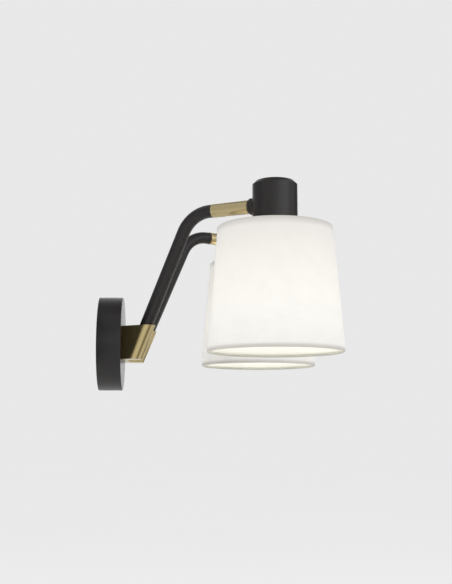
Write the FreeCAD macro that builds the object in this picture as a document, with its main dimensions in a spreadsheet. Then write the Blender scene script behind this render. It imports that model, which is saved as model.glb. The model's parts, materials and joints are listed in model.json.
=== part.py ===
import FreeCAD, Part
import math
import os
import re

import Sketcher

# Double arm wall light, in millimetres.
#
# The origin is the centre of the wall plate's back face, on the wall. The wall is the
# plane y = 0, the light stands out from it towards -Y, and +Z is up. Each arm lies in an
# upright plane of its own, turned outwards from -Y by arm_splay. "left" is -X and
# "right" is +X, as seen by somebody who faces the wall.

SIZES = (
    # wall plate
    ("plate_diameter", 120, "outside of the round wall cover"),
    ("plate_depth", 30, "wall to the cover's front face"),
    ("plate_wall", 1.6, "sheet of the cover"),
    ("plate_edge", 0.8, "broken edge round the cover's front"),
    ("cover_hole_depth", 9, "wall to the cover screws' axis"),
    ("cover_screw_diameter", 4, "thread that locks the cover"),
    ("cover_screw_length", 6, "grub screw"),
    ("screw_edge", 0.4, "broken edge at a grub screw's end"),
    ("screw_slot", 0.9, "slot across the head of a slotted screw"),
    # mounting plate
    ("mount_thickness", 2, "steel of the mounting plate"),
    ("mount_play", 0.8, "gap round the mounting plate inside the cover"),
    ("mount_tab_width", 14, "tab that the cover screws bite in"),
    ("mount_tab_length", 14, "tab, measured from the wall"),
    ("wall_slot_spacing", 70, "between the middles of the two wall slots"),
    ("wall_slot_width", 5, "slot for a wall screw"),
    ("wall_slot_length", 12, "slot from end to end"),
    ("feed_hole_diameter", 14, "hole for the supply cable"),
    ("feed_hole_drop", 26, "feed hole below the plate's centre"),
    ("feed_grommet_bore", 9, "bore of the feed grommet"),
    ("grommet_lip", 1.2, "thickness and reach of a grommet's lip"),
    # terminal block and earth screw
    ("block_width", 36, "terminal block along X"),
    ("block_height", 16, "terminal block along Z"),
    ("block_depth", 15, "terminal block along Y"),
    ("block_base", 7, "underside of the block above the plate's centre"),
    ("block_pitch", 12, "between poles"),
    ("block_wire_hole", 3.4, "wire entry"),
    ("block_screw_diameter", 3.4, "terminal screw"),
    ("block_screw_length", 5, "terminal screw"),
    ("block_row_spacing", 8, "between the two screws of a pole"),
    ("earth_screw_diameter", 4, "earth screw"),
    ("earth_head_diameter", 8, "head of the earth screw"),
    ("earth_head_height", 2.6, "head of the earth screw"),
    ("earth_washer_diameter", 10, "washer under it"),
    ("earth_washer_thickness", 1, "washer under it"),
    ("earth_offset", 21.6, "earth screw's axis in from the mounting plate's side end"),
    ("earth_height", 26, "earth screw above the plate's centre"),
    # bracket
    ("bracket_top", 20, "level top of the bracket above the plate's centre"),
    ("bracket_bottom", 22, "level underside below the plate's centre"),
    ("wing_thickness", 21, "each wing, and the round nose in front of it"),
    ("web_thickness", 7, "plate that joins the wings at the cover"),
    ("tube_seat_depth", 30, "how far a tube stands in the bracket, along the tube"),
    ("lead_chamber_depth", 9, "room for the lead under the tube's end"),
    ("lead_hole_diameter", 8, "way for the lead to the wall plate"),
    ("lead_hole_drop", 11.5, "lead holes below the plate's centre"),
    ("bolt_diameter", 5, "bolt that holds the bracket"),
    ("bolt_length", 14, "shank of the bolt"),
    ("bolt_head_diameter", 8.5, "head of the bolt"),
    ("bolt_head_height", 5, "head of the bolt"),
    ("bolt_socket", 4, "hexagon in the head, across its flats"),
    ("bolt_height", 9, "bolts above the plate's centre"),
    ("bolt_washer_diameter", 10.5, "washer under the head"),
    ("bolt_washer_thickness", 1, "washer under the head"),
    ("tube_screw_diameter", 4, "grub screw that locks a tube"),
    ("tube_screw_height", 6, "those screws above the plate's centre"),
    # arms
    ("lamp_spacing", 252, "between the two lamps' axes"),
    ("lamp_reach", 216, "wall to the lamps' axes"),
    ("arm_splay", 29.1, "degrees that each arm turns outwards"),
    ("arm_height", 157.6, "level run of an arm above the plate's centre"),
    ("tube_lean", 24.7, "degrees from upright of the rising run"),
    ("upper_run", 114, "lamp axis to the corner of the arm's centre line"),
    ("bend_radius", 40, "bend of the tube's centre line"),
    ("tube_diameter", 16.2, "outside of the tube"),
    ("tube_wall", 1.2, "wall of the tube"),
    ("sleeve_diameter", 17, "outside of the end sleeve"),
    ("sleeve_length", 49, "end sleeve"),
    ("spigot_length", 5, "sleeve's spigot in the tube"),
    # swivel
    ("collar_diameter", 20.6, "swivel collar"),
    ("collar_length", 6.2, "cap's round side to the friction washer"),
    ("collar_edge", 2.5, "rounding of the collar's edge at the washer"),
    ("washer_diameter", 15.6, "friction washer between sleeve and collar"),
    ("washer_thickness", 0.8, "friction washer"),
    ("washer_play", 0.1, "running gap between the friction washer and the collar"),
    ("stud_diameter", 10, "threaded stud that the head turns on"),
    ("stud_bore", 7, "way for the lead through the stud"),
    ("stud_grip", 12, "stud inside the sleeve"),
    ("stud_reach", 0.6, "thread that shows past the swivel nut"),
    ("nut_flats", 14, "nut across its flats"),
    ("nut_thickness", 3.6, "nut"),
    ("spring_washer_thickness", 1.2, "spring washer under the swivel nut"),
    # cap and lampholder
    ("cap_diameter", 54.2, "outside of the cap"),
    ("cap_wall", 1.6, "wall of the cap"),
    ("cap_top", 27.4, "top of the cap above the swivel's axis"),
    ("cap_bottom", 24.6, "mouth of the cap below the swivel's axis"),
    ("cap_chamfer", 4, "chamfer round the cap's top"),
    ("bridge_width", 15, "strip that carries the lampholder"),
    ("bridge_thickness", 1.5, "strip that carries the lampholder"),
    ("bridge_drop", 10.2, "swivel axis to the underside of the strip's level leg"),
    ("bridge_tail", 9, "level leg past the lamp's axis"),
    ("nipple_length", 12, "threaded nipple"),
    ("holder_diameter", 40, "body of the lampholder"),
    ("holder_length", 49, "lampholder from its top to the skirt's end"),
    ("holder_shoulder", 7, "height of the lampholder's sloping top"),
    ("flange_diameter", 46, "flange that the shade carrier bears on"),
    ("flange_thickness", 2.4, "that flange"),
    ("skirt_diameter", 39, "threaded skirt"),
    ("socket_diameter", 27.8, "bore that takes the lamp's base"),
    ("socket_roof", 16.4, "end of that bore below the lampholder's top"),
    ("ring_width", 4.8, "radial width of the shade ring"),
    ("ring_height", 8, "shade ring"),
    # lamp
    ("lamp_base_diameter", 26.6, "lamp's screw base"),
    ("lamp_base_length", 25, "lamp's screw base"),
    ("lamp_base_taper", 5, "base's narrowing end"),
    ("lamp_contact_diameter", 9, "contact at the end of the base"),
    ("lamp_neck_diameter", 25, "glass where it leaves the base"),
    ("lamp_neck_length", 14, "glass between the base and the bulge"),
    ("lamp_diameter", 60, "widest part of the glass"),
    ("lamp_length", 106, "lamp from end to end"),
    ("glass_wall", 0.9, "lamp glass"),
    ("cone_angle", 35, "degrees above its middle where the bulge becomes a cone"),
    # shade
    ("shade_bottom_diameter", 162, "outside at the lower rim"),
    ("shade_top_diameter", 137.4, "outside at the upper rim"),
    ("shade_top", 28.6, "upper rim below the swivel's axis"),
    ("shade_drop", 178, "lower rim below the swivel's axis"),
    ("shade_wall", 1, "laminated fabric"),
    ("hem_diameter", 3.6, "rolled hem at either rim"),
    ("hem_wall", 0.6, "fabric that rolls round the wire"),
    ("wire_diameter", 2, "wire ring in the lower hem"),
    ("spoke_diameter", 2, "wire of the shade carrier"),
    ("carrier_width", 5.4, "radial width of the carrier's centre ring"),
    ("carrier_thickness", 1.5, "carrier's centre ring"),
    # leads and clearances
    ("lead_diameter", 6, "sheathed lead along an arm"),
    ("lead_bend", 9, "smallest bend of that lead"),
    ("lead_stand_off", 12, "lead's last turn in front of the wall"),
    ("core_diameter", 4.4, "stripped cores from the stud to the lampholder"),
    ("core_bend", 8, "bend of the cores inside the cap"),
    ("fit", 0.05, "radial clearance of a fixed fit"),
    ("seat", 0.2, "gap where a piece lies beside a curved one"),
    ("screw_play", 0.25, "radial clearance of a screw in a plain hole"),
)

SIDES = (("left", -1), ("right", 1))
SPOKES = 3
POLES = (-1, 0, 1)
FULL_TURN = 360
TOUCHING = 0.001

doc = FreeCAD.newDocument("wall_light")
sheet = doc.addObject("Spreadsheet::Sheet", "Sizes")
for row, (name, value, note) in enumerate(SIZES, start=1):
    sheet.set("A%d" % row, name)
    sheet.set("B%d" % row, str(value))
    sheet.setAlias("B%d" % row, name)
    sheet.set("C%d" % row, note)
doc.recompute()

NAMES = re.compile(r"\b(" + "|".join(name for name, _, _ in SIZES) + r")\b")
Vector = FreeCAD.Vector
pieces = []


# ---- formulas -------------------------------------------------------------------------


def linked(text):
    """A formula whose size names point into the sheet."""
    return NAMES.sub(r"Sizes.\1", str(text))


def number(text):
    return float(sheet.evalExpression(linked(text)))


def bind(thing, **formulas):
    for path, text in formulas.items():
        thing.setExpression(path, linked(text))
    return thing


def place(thing, text):
    thing.setExpression("Placement", linked(text))
    return thing


def keep(thing):
    """Marks an object as one of the light's pieces."""
    pieces.append(thing)
    return thing


def move(x, y, z):
    return "placement(vector(%s; %s; %s); rotation(vector(0; 0; 1); 0))" % (x, y, z)


def turn(axis, angle, at=("0", "0", "0")):
    return "placement(vector(%s; %s; %s); rotation(vector(%s; %s; %s); %s))" % (*at, *axis, angle)


# Frames. lamp: upright axis of a lamp. swivel: the arm's level end, whose local Z runs
# from the lamp's axis back to the wall. arm: the arm's plane, whose local X runs outwards
# from the wall and whose local Z is up. tube: local Z runs up along the leaning tube,
# from the level of the plate's centre.

ROOT_OFFSET = "(lamp_spacing / 2 - lamp_reach * tan(arm_splay))"
ARM_REACH = "(lamp_reach / cos(arm_splay))"
CORNER = "(%s - upper_run)" % ARM_REACH
PLATE_FACE = "(plate_depth / cos(arm_splay))"


def lamp_frame(side):
    return move("%d * lamp_spacing / 2" % side, "-lamp_reach", 0)


def swivel_frame(side):
    at = ("%d * lamp_spacing / 2" % side, "-lamp_reach", "arm_height")
    return turn((0, 0, 1), "%d * arm_splay" % side, at) + " * " + turn((1, 0, 0), -90)


def arm_frame(side):
    return turn((0, 0, 1), "-90 + %d * arm_splay" % side, ("%d * %s" % (side, ROOT_OFFSET), 0, 0))


def tube_frame(side):
    foot = "%s - arm_height * tan(tube_lean)" % CORNER
    return arm_frame(side) + " * " + turn((0, 1, 0), "tube_lean", (foot, 0, 0))


# ---- sketches and solids --------------------------------------------------------------


def body(label):
    made = doc.addObject("PartDesign::Body", label)
    made.Label = label
    return made


def sketch(owner, role, name, offset=None):
    made = owner.newObject("Sketcher::SketchObject", name)
    plane = next(item for item in owner.Origin.OriginFeatures if item.Role == role)
    made.AttachmentSupport = [(plane, "")]
    made.MapMode = "FlatFace"
    if offset is not None:
        made.setExpression("AttachmentOffset.Base.z", linked(offset))
    return made


def fix(drawing, index, point, x, y):
    """Holds a point of a sketch at a place that is given by two formulas."""
    for kind, axis, text in (("DistanceX", -2, x), ("DistanceY", -1, y)):
        if str(text) == "0":
            drawing.addConstraint(Sketcher.Constraint("PointOnObject", index, point, axis))
        else:
            held = Sketcher.Constraint(kind, -1, 1, index, point, number(text))
            drawing.setExpression("Constraints[%d]" % drawing.addConstraint(held), linked(text))


def outline(drawing, points):
    """A closed outline of straight lines through points given by formulas."""
    corners = [Vector(number(x), number(y), 0) for x, y in points]
    first = drawing.GeometryCount
    count = len(corners)
    for index, corner in enumerate(corners):
        drawing.addGeometry(Part.LineSegment(corner, corners[(index + 1) % count]))
    for index in range(count):
        following = first + (index + 1) % count
        drawing.addConstraint(Sketcher.Constraint("Coincident", first + index, 2, following, 1))
    for index, (x, y) in enumerate(points):
        fix(drawing, first + index, 1, x, y)


def rectangle(drawing, left, bottom, right, top):
    outline(drawing, ((left, bottom), (right, bottom), (right, top), (left, top)))


def circle(drawing, x, y, diameter):
    centre = Vector(number(x), number(y), 0)
    index = drawing.addGeometry(Part.Circle(centre, Vector(0, 0, 1), number(diameter) / 2))
    fix(drawing, index, 3, x, y)
    size = Sketcher.Constraint("Diameter", index, number(diameter))
    drawing.setExpression("Constraints[%d]" % drawing.addConstraint(size), linked(diameter))


def hexagon(drawing, flats):
    """A hexagon round the sketch's origin, with two of its flats upright."""
    half = "(%s) / 2" % flats
    edge = "(%s) / sqrt(3)" % flats
    points = [(half, "-(%s) / 2" % edge), (half, "(%s) / 2" % edge), ("0", edge)]
    points += [("-(%s)" % half, "(%s) / 2" % edge), ("-(%s)" % half, "-(%s) / 2" % edge)]
    outline(drawing, points + [("0", "-(%s)" % edge)])


def pad(owner, drawing, length, reverse=False, midplane=False):
    made = owner.newObject("PartDesign::Pad", drawing.Name + "_pad")
    made.Profile = drawing
    made.Reversed = reverse
    made.Midplane = midplane
    return bind(made, Length=length)


def drill(owner, drawing):
    """Cuts a sketch through everything on both of its sides."""
    made = owner.newObject("PartDesign::Pocket", drawing.Name + "_cut")
    made.Profile = drawing
    made.Type = "ThroughAll"
    made.Midplane = True
    return made


def turned(label, points, role="XZ_Plane"):
    """A piece turned round its upright axis from half of its section."""
    owner = body(label)
    section = sketch(owner, role, label + "_section")
    outline(section, points)
    spun = owner.newObject("PartDesign::Revolution", label + "_turned")
    spun.Profile = section
    spun.ReferenceAxis = (section, ["V_Axis"])
    spun.Angle = FULL_TURN
    return owner


def tube_section(inner, outer, low, high):
    return ((inner, low), (outer, low), (outer, high), (inner, high))


def round_rim(owner, label, radius, height, size):
    """Rounds the edge of a turned piece that has this radius and lies at this height."""
    doc.recompute()
    turned_solid = owner.Tip
    wanted = (number(radius), number(height))
    rims = []
    for index, edge in enumerate(turned_solid.Shape.Edges, start=1):
        if isinstance(edge.Curve, Part.Circle):
            found = (edge.Curve.Radius, edge.Curve.Center.z)
            if max(abs(a - b) for a, b in zip(found, wanted)) < TOUCHING:
                rims.append("Edge%d" % index)
    made = owner.newObject("PartDesign::Fillet", label)
    made.Base = (turned_solid, rims)
    return bind(made, Radius=size)


def rod(name, diameter, length, frame):
    made = doc.addObject("Part::Cylinder", name)
    bind(made, Radius="(%s) / 2" % diameter, Height=length)
    return place(made, frame)


def group(label, members):
    made = doc.addObject("Part::Compound", label)
    made.Label = label
    made.Links = members
    return keep(made)


def cut(label, base, tools):
    tool = tools[0]
    if len(tools) > 1:
        tool = doc.addObject("Part::MultiFuse", label + "_tools")
        tool.Shapes = tools
    made = doc.addObject("Part::Cut", label)
    made.Label = label
    made.Base = base
    made.Tool = tool
    return made


def rounded(corner, way_in, way_out, angle, radius):
    """Where an arc that rounds a corner of a centre line starts and ends."""
    reach = "(%s) * tan((%s) / 2)" % (radius, angle)
    start = tuple("(%s) - (%s) * %s" % (at, way, reach) for at, way in zip(corner, way_in))
    end = tuple("(%s) + (%s) * %s" % (at, way, reach) for at, way in zip(corner, way_out))
    return start, end


def route(drawing, start, bends, end):
    """A centre line of straight runs joined by arcs. A bend is start, end, radius, left."""
    at = start
    tips = []
    for bend_start, bend_end, radius, to_the_left in bends:
        tips.append((line(drawing, at, bend_start), 1, 2))
        tips.append(arc(drawing, tips[-1][0], bend_start, bend_end, radius, to_the_left))
        at = bend_end
    tips.append((line(drawing, at, end), 1, 2))
    fix(drawing, tips[0][0], 1, *start)
    fix(drawing, tips[-1][0], 2, *end)
    for before, after in zip(tips, tips[1:]):
        link = Sketcher.Constraint("Coincident", before[0], before[2], after[0], after[1])
        drawing.addConstraint(link)


def line(drawing, start, end):
    places = [Vector(number(x), number(y), 0) for x, y in (start, end)]
    return drawing.addGeometry(Part.LineSegment(*places))


def arc(drawing, before, start, end, radius, to_the_left):
    run = drawing.Geometry[before]
    way = (run.EndPoint - run.StartPoint).normalize()
    normal = Vector(-way.y, way.x, 0) if to_the_left else Vector(way.y, -way.x, 0)
    first = Vector(number(start[0]), number(start[1]), 0)
    last = Vector(number(end[0]), number(end[1]), 0)
    middle = first + normal * number(radius)
    whole = Part.Circle(middle, Vector(0, 0, 1), number(radius))
    tips = (first, last) if to_the_left else (last, first)
    index = drawing.addGeometry(Part.ArcOfCircle(whole, whole.parameter(tips[0]), whole.parameter(tips[1])))
    ends = (1, 2) if to_the_left else (2, 1)
    fix(drawing, index, ends[0], *start)
    fix(drawing, index, ends[1], *end)
    size = Sketcher.Constraint("Radius", index, number(radius))
    drawing.setExpression("Constraints[%d]" % drawing.addConstraint(size), linked(radius))
    return index, *ends


# ---- wall plate -----------------------------------------------------------------------

COVER_INSIDE = "(plate_diameter / 2 - plate_wall)"
COVER_INNER_FACE = "(plate_depth - plate_wall)"
LEAD_HOLE_X = "(%s + %s * tan(arm_splay))" % (ROOT_OFFSET, COVER_INNER_FACE)
BOLT_X = "(%s + (plate_depth + bolt_length / 2) * tan(arm_splay))" % ROOT_OFFSET
GROMMET_HOLE = "(lead_hole_diameter + 2 * grommet_lip)"


def wall_cover():
    """Round cup that hides the mounting plate and the wiring, and carries the bracket."""
    outer = "plate_diameter / 2"
    front = "-plate_depth"
    made = turned("wall_cover", (
        (COVER_INSIDE, "0"), (outer, "0"), (outer, "%s + plate_edge" % front),
        ("%s - plate_edge" % outer, front), ("0", front), ("0", "-%s" % COVER_INNER_FACE),
        (COVER_INSIDE, "-%s" % COVER_INNER_FACE)), "XY_Plane")
    holes = sketch(made, "XZ_Plane", "cover_holes")
    for _, side in SIDES:
        circle(holes, "%d * %s" % (side, LEAD_HOLE_X), "-lead_hole_drop", GROMMET_HOLE)
        circle(holes, "%d * %s" % (side, BOLT_X), "bolt_height", "bolt_diameter + 2 * screw_play")
    drill(made, holes)
    rim = sketch(made, "XY_Plane", "cover_rim_holes")
    circle(rim, "0", "-cover_hole_depth", "cover_screw_diameter + 2 * screw_play")
    drill(made, rim)
    return keep(made)


def slot(drawing, middle):
    """A slot along X with round ends."""
    radius = "wall_slot_width / 2"
    reach = "(wall_slot_length - wall_slot_width) / 2"
    ends = []
    for way in (1, -1):
        x = "%s + %d * %s" % (middle, way, reach)
        whole = Part.Circle(Vector(number(x), 0, 0), Vector(0, 0, 1), number(radius))
        first = math.radians(-90 * way)
        index = drawing.addGeometry(Part.ArcOfCircle(whole, first, first + math.pi))
        fix(drawing, index, 3, x, "0")
        size = Sketcher.Constraint("Radius", index, number(radius))
        drawing.setExpression("Constraints[%d]" % drawing.addConstraint(size), linked(radius))
        for tip in (1, 2):
            drawing.addConstraint(Sketcher.Constraint("Vertical", index, 3, index, tip))
        ends.append(index)
    for before, after in (ends, ends[::-1]):
        tips = drawing.Geometry[before].EndPoint, drawing.Geometry[after].StartPoint
        edge = drawing.addGeometry(Part.LineSegment(*tips))
        drawing.addConstraint(Sketcher.Constraint("Coincident", before, 2, edge, 1))
        drawing.addConstraint(Sketcher.Constraint("Coincident", edge, 2, after, 1))


MOUNT_RADIUS = "(%s - mount_play)" % COVER_INSIDE
EARTH_X = "(%s - earth_offset)" % MOUNT_RADIUS


def mounting_plate():
    """Steel disc that is screwed to the wall, with a tab above and below for the cover."""
    made = body("mounting_plate")
    disc = sketch(made, "XZ_Plane", "mount_disc")
    circle(disc, "0", "0", "2 * %s" % MOUNT_RADIUS)
    circle(disc, "0", "-feed_hole_drop", "feed_hole_diameter")
    circle(disc, EARTH_X, "earth_height", "earth_screw_diameter + 2 * fit")
    pad(made, disc, "mount_thickness")
    for name, up in (("upper", 1), ("lower", -1)):
        tab = sketch(made, "XZ_Plane", "mount_%s_tab" % name)
        rectangle(tab, "-mount_tab_width / 2", "%d * %s - %d * mount_thickness" % (up, MOUNT_RADIUS, up),
                  "mount_tab_width / 2", "%d * %s" % (up, MOUNT_RADIUS))
        pad(made, tab, "mount_tab_length")
    threads = sketch(made, "XY_Plane", "mount_threads")
    circle(threads, "0", "-cover_hole_depth", "cover_screw_diameter + 2 * fit")
    drill(made, threads)
    slots = sketch(made, "XZ_Plane", "mount_slots")
    for _, side in SIDES:
        slot(slots, "%d * wall_slot_spacing / 2" % side)
    drill(made, slots)
    return keep(made)


def cover_screws():
    """Two grub screws that go up and down through the cover's rim into the tabs."""
    screws = []
    start = "(plate_diameter / 2 - seat - cover_screw_length)"
    for name, up in (("upper", 1), ("lower", -1)):
        frame = turn((1, 0, 0), 90 - 90 * up, ("0", "-cover_hole_depth", "%d * %s" % (up, start)))
        label = "%s_cover_screw" % name
        screws.append(socket_screw(label, "cover_screw_diameter", "cover_screw_length", frame))
    group("cover_screws", screws)


def socket_screw(label, diameter, length, frame):
    """A headless screw with a hexagon socket in its outer end, at local +Z."""
    radius = "(%s) / 2" % diameter
    made = turned(label, (("0", "0"), ("%s - screw_edge" % radius, "0"), (radius, "screw_edge"),
                          (radius, length), ("0", length)))
    socket = sketch(made, "XY_Plane", label + "_socket", length)
    hexagon(socket, "(%s) / 2" % diameter)
    hole = made.newObject("PartDesign::Pocket", label + "_hexagon")
    hole.Profile = socket
    bind(hole, Length="(%s) / 2" % length)
    return place(made, frame)


def feed_grommet():
    """Rubber grommet in the supply cable's hole, with a lip in front of the plate."""
    bore = "feed_grommet_bore / 2"
    hole = "(feed_hole_diameter / 2 - fit)"
    lip = "(feed_hole_diameter / 2 + grommet_lip)"
    front = "mount_thickness"
    made = turned("feed_grommet", (
        (bore, "0"), (hole, "0"), (hole, front), (lip, front),
        (lip, "%s + grommet_lip" % front), (bore, "%s + grommet_lip" % front)))
    return keep(place(made, turn((1, 0, 0), 90, ("0", "0", "-feed_hole_drop"))))


def lead_grommets():
    """Rubber grommets that guard the two leads in the cover's front."""
    both = []
    for name, side in SIDES:
        bore = "(lead_diameter / 2 + 2 * seat)"
        hole = "(%s / 2 - fit)" % GROMMET_HOLE
        lip = "(%s / 2 + grommet_lip)" % GROMMET_HOLE
        inside = "-grommet_lip"
        made = turned(name + "_lead_grommet", (
            ("%s + plate_wall * tan(arm_splay)" % bore, inside), (lip, inside), (lip, "0"), (hole, "0"),
            (hole, "plate_wall"), ("%s + plate_wall * tan(arm_splay)" % bore, "plate_wall")))
        at = ("%d * %s" % (side, LEAD_HOLE_X), "-%s" % COVER_INNER_FACE, "-lead_hole_drop")
        both.append(place(made, turn((1, 0, 0), 90, at)))
    group("lead_grommets", both)


def terminal_block():
    """Three-pole block on the mounting plate. Wires enter above and below."""
    made = body("terminal_block")
    block = sketch(made, "XZ_Plane", "block_outline", "mount_thickness")
    rectangle(block, "-block_width / 2", "block_base", "block_width / 2", "block_base + block_height")
    pad(made, block, "block_depth")
    wires = sketch(made, "XY_Plane", "block_wires")
    for pole in POLES:
        circle(wires, "%d * block_pitch" % pole if pole else "0", "-lead_stand_off", "block_wire_hole")
    drill(made, wires)
    wells = sketch(made, "XZ_Plane", "block_wells", "mount_thickness + block_depth")
    for pole in POLES:
        for row in (-1, 1):
            circle(wells, "%d * block_pitch" % pole if pole else "0", block_row(row),
                   "block_screw_diameter + 2 * screw_play")
    hole = made.newObject("PartDesign::Pocket", "block_wells_cut")
    hole.Profile = wells
    bind(hole, Length="mount_thickness + block_depth - lead_stand_off")
    return keep(made)


def block_row(row):
    return "block_base + block_height / 2 + %d * block_row_spacing / 2" % row


def terminal_screws():
    """Two slotted screws for each pole of the terminal block."""
    screws = []
    for pole in POLES:
        for row in (-1, 1):
            label = "terminal_screw_%d_%d" % (pole + 2, row + 2)
            edge = "block_screw_diameter / 2"
            made = turned(label, (("0", "0"), (edge, "0"), (edge, "block_screw_length"),
                                  ("0", "block_screw_length")))
            notch = sketch(made, "XY_Plane", label + "_slot", "block_screw_length")
            rectangle(notch, "-block_screw_diameter", "-screw_slot / 2",
                      "block_screw_diameter", "screw_slot / 2")
            hole = made.newObject("PartDesign::Pocket", label + "_notch")
            hole.Profile = notch
            bind(hole, Length="block_screw_length / 5")
            at = ("%d * block_pitch" % pole, "-lead_stand_off", block_row(row))
            screws.append(place(made, turn((1, 0, 0), 90, at)))
    group("terminal_screws", screws)


def earth_terminal():
    """Earth screw and its washer on the mounting plate."""
    face = (EARTH_X, "-mount_thickness", "earth_height")
    washer = turned("earth_washer", tube_section(
        "earth_screw_diameter / 2 + screw_play", "earth_washer_diameter / 2", "0", "earth_washer_thickness"))
    keep(place(washer, turn((1, 0, 0), 90, face)))
    head = "earth_washer_thickness + earth_head_height"
    low = "earth_washer_thickness"
    shank = "earth_screw_diameter / 2"
    screw = turned("earth_screw", (
        ("0", "-mount_thickness"), (shank, "-mount_thickness"), (shank, low),
        ("earth_head_diameter / 2", low), ("earth_head_diameter / 2", head), ("0", head)))
    cross = sketch(screw, "XY_Plane", "earth_screw_slot", head)
    rectangle(cross, "-earth_head_diameter", "-screw_slot / 2", "earth_head_diameter", "screw_slot / 2")
    hole = screw.newObject("PartDesign::Pocket", "earth_screw_notch")
    hole.Profile = cross
    bind(hole, Length="earth_head_height / 2")
    keep(place(screw, turn((1, 0, 0), 90, face)))


# ---- bracket --------------------------------------------------------------------------

BORE = "(tube_diameter + 2 * fit)"
SEAT_TOP = "(bracket_top / cos(tube_lean))"
OVERSHOOT = "(bracket_top + bracket_bottom)"


def bracket():
    """Two wings with round noses along the tubes, joined by a web at the cover."""
    wings = []
    for name, side in SIDES:
        slab = doc.addObject("Part::Box", name + "_wing_slab")
        bind(slab, Length=ARM_REACH, Width="wing_thickness", Height="4 * %s" % OVERSHOOT)
        low = ("-%s" % ARM_REACH, "-wing_thickness / 2", "-2 * %s" % OVERSHOOT)
        place(slab, tube_frame(side) + " * " + move(*low))
        nose = rod(name + "_wing_nose", "wing_thickness", "4 * %s" % OVERSHOOT,
                   tube_frame(side) + " * " + move(0, 0, "-2 * %s" % OVERSHOOT))
        wing = doc.addObject("Part::Fuse", name + "_wing")
        wing.Base = slab
        wing.Tool = nose
        wings.append(wing)
    whole = doc.addObject("Part::Box", "bracket_levels")
    bind(whole, Length="lamp_spacing", Width="lamp_reach", Height=OVERSHOOT)
    place(whole, move("-lamp_spacing / 2", "-plate_depth - lamp_reach", "-bracket_bottom"))
    halves = []
    for (name, side), wing in zip(SIDES, wings):
        level = doc.addObject("Part::Common", name + "_wing_level")
        level.Base = wing
        level.Tool = whole
        halves.append(level)
    web = doc.addObject("Part::Box", "bracket_web")
    bind(web, Length="2 * %s" % BOLT_X, Width="web_thickness", Height=OVERSHOOT)
    place(web, move("-%s" % BOLT_X, "-plate_depth - web_thickness", "-bracket_bottom"))
    solid = doc.addObject("Part::MultiFuse", "bracket_solid")
    solid.Shapes = halves + [web]
    solid.Refine = True
    tools = []
    for name, side in SIDES:
        tools += bracket_bores(name, side)
    return keep(cut("bracket", solid, tools))


def bracket_bores(name, side):
    """The tube's seat, the lead's way, the bolt's thread and the grub screw's thread."""
    foot = "%s - tube_seat_depth" % SEAT_TOP
    seat = rod(name + "_tube_seat", BORE, "tube_seat_depth + wing_thickness",
               tube_frame(side) + " * " + move(0, 0, foot))
    chamber = rod(name + "_lead_chamber", "tube_diameter - 2 * tube_wall", "lead_chamber_depth + tube_wall",
                  tube_frame(side) + " * " + move(0, 0, "%s - lead_chamber_depth" % foot))
    start = "%s - wing_thickness" % PLATE_FACE
    way = rod(name + "_lead_way", "lead_hole_diameter", "%s - (%s)" % (lead_corner_x(), start),
              arm_frame(side) + " * " + turn((0, 1, 0), 90, (start, "0", "-lead_hole_drop")))
    bolt = rod(name + "_bolt_thread", "bolt_diameter + 2 * fit", "bolt_length",
               turn((1, 0, 0), 90, ("%d * %s" % (side, BOLT_X), "-plate_depth", "bolt_height")))
    lock = rod(name + "_lock_thread", "tube_screw_diameter + 2 * fit", "wing_thickness",
               lock_frame(side, "0"))
    return [seat, chamber, way, bolt, lock]


def lead_corner_x():
    """Where the leaning centre line crosses the level of the lead holes, in the arm's plane."""
    return "(%s - (arm_height + lead_hole_drop) * tan(tube_lean))" % CORNER


def lock_frame(side, start):
    """On the wing's inner side, square to the arm's plane. start is measured from the axis."""
    at = ("%s - (arm_height - tube_screw_height) * tan(tube_lean)" % CORNER,
          "%d * (%s)" % (-side, start), "tube_screw_height")
    return arm_frame(side) + " * " + turn((1, 0, 0), 90 * side, at)


def tube_screws():
    """Grub screws in the wings' inner sides that lock the tubes."""
    both = []
    for name, side in SIDES:
        start = "tube_diameter / 2 + seat"
        length = "wing_thickness / 2 - tube_diameter / 2 - 2 * seat"
        both.append(rod(name + "_tube_screw", "tube_screw_diameter", length, lock_frame(side, start)))
    group("tube_screws", both)


def bracket_bolts():
    """Socket bolts, each with a washer, that pull the bracket against the cover."""
    bolts = []
    washers = []
    for name, side in SIDES:
        face = ("%d * %s" % (side, BOLT_X), "-%s" % COVER_INNER_FACE, "bolt_height")
        washer = turned(name + "_bolt_washer", tube_section(
            "bolt_diameter / 2 + screw_play", "bolt_washer_diameter / 2", "-bolt_washer_thickness", "0"))
        washers.append(place(washer, turn((1, 0, 0), 90, face)))
        shank = "bolt_diameter / 2"
        head = "bolt_head_diameter / 2"
        under = "-bolt_washer_thickness"
        top = "-bolt_washer_thickness - bolt_head_height"
        tip = "bolt_length - bolt_washer_thickness"
        bolt = turned(name + "_bracket_bolt", (
            ("0", top), (head, top), (head, under), (shank, under), (shank, tip), ("0", tip)))
        socket = sketch(bolt, "XY_Plane", name + "_bolt_socket", top)
        hexagon(socket, "bolt_socket")
        hole = bolt.newObject("PartDesign::Pocket", name + "_bolt_hexagon")
        hole.Profile = socket
        hole.Reversed = True
        bind(hole, Length="bolt_head_height / 2")
        bolts.append(place(bolt, turn((1, 0, 0), 90, face)))
    group("bracket_bolts", bolts)
    group("bracket_washers", washers)


# ---- arms -----------------------------------------------------------------------------

SLEEVE_START = "(cap_diameter / 2 + collar_length + washer_thickness)"
SLEEVE_END = "(%s + sleeve_length)" % SLEEVE_START
MAIN_BEND = rounded((CORNER, "arm_height"), ("-1", "0"), ("-sin(tube_lean)", "-cos(tube_lean)"),
                    "90 - tube_lean", "bend_radius")
DOWN_THE_TUBE = ("-sin(tube_lean)", "-cos(tube_lean)")


def along_tube(depth):
    """A point of the leaning centre line, a given way down the tube from the bracket's top."""
    return ("%s - (arm_height - bracket_top) * tan(tube_lean) - (%s) * sin(tube_lean)" % (CORNER, depth),
            "bracket_top - (%s) * cos(tube_lean)" % depth)


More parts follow.
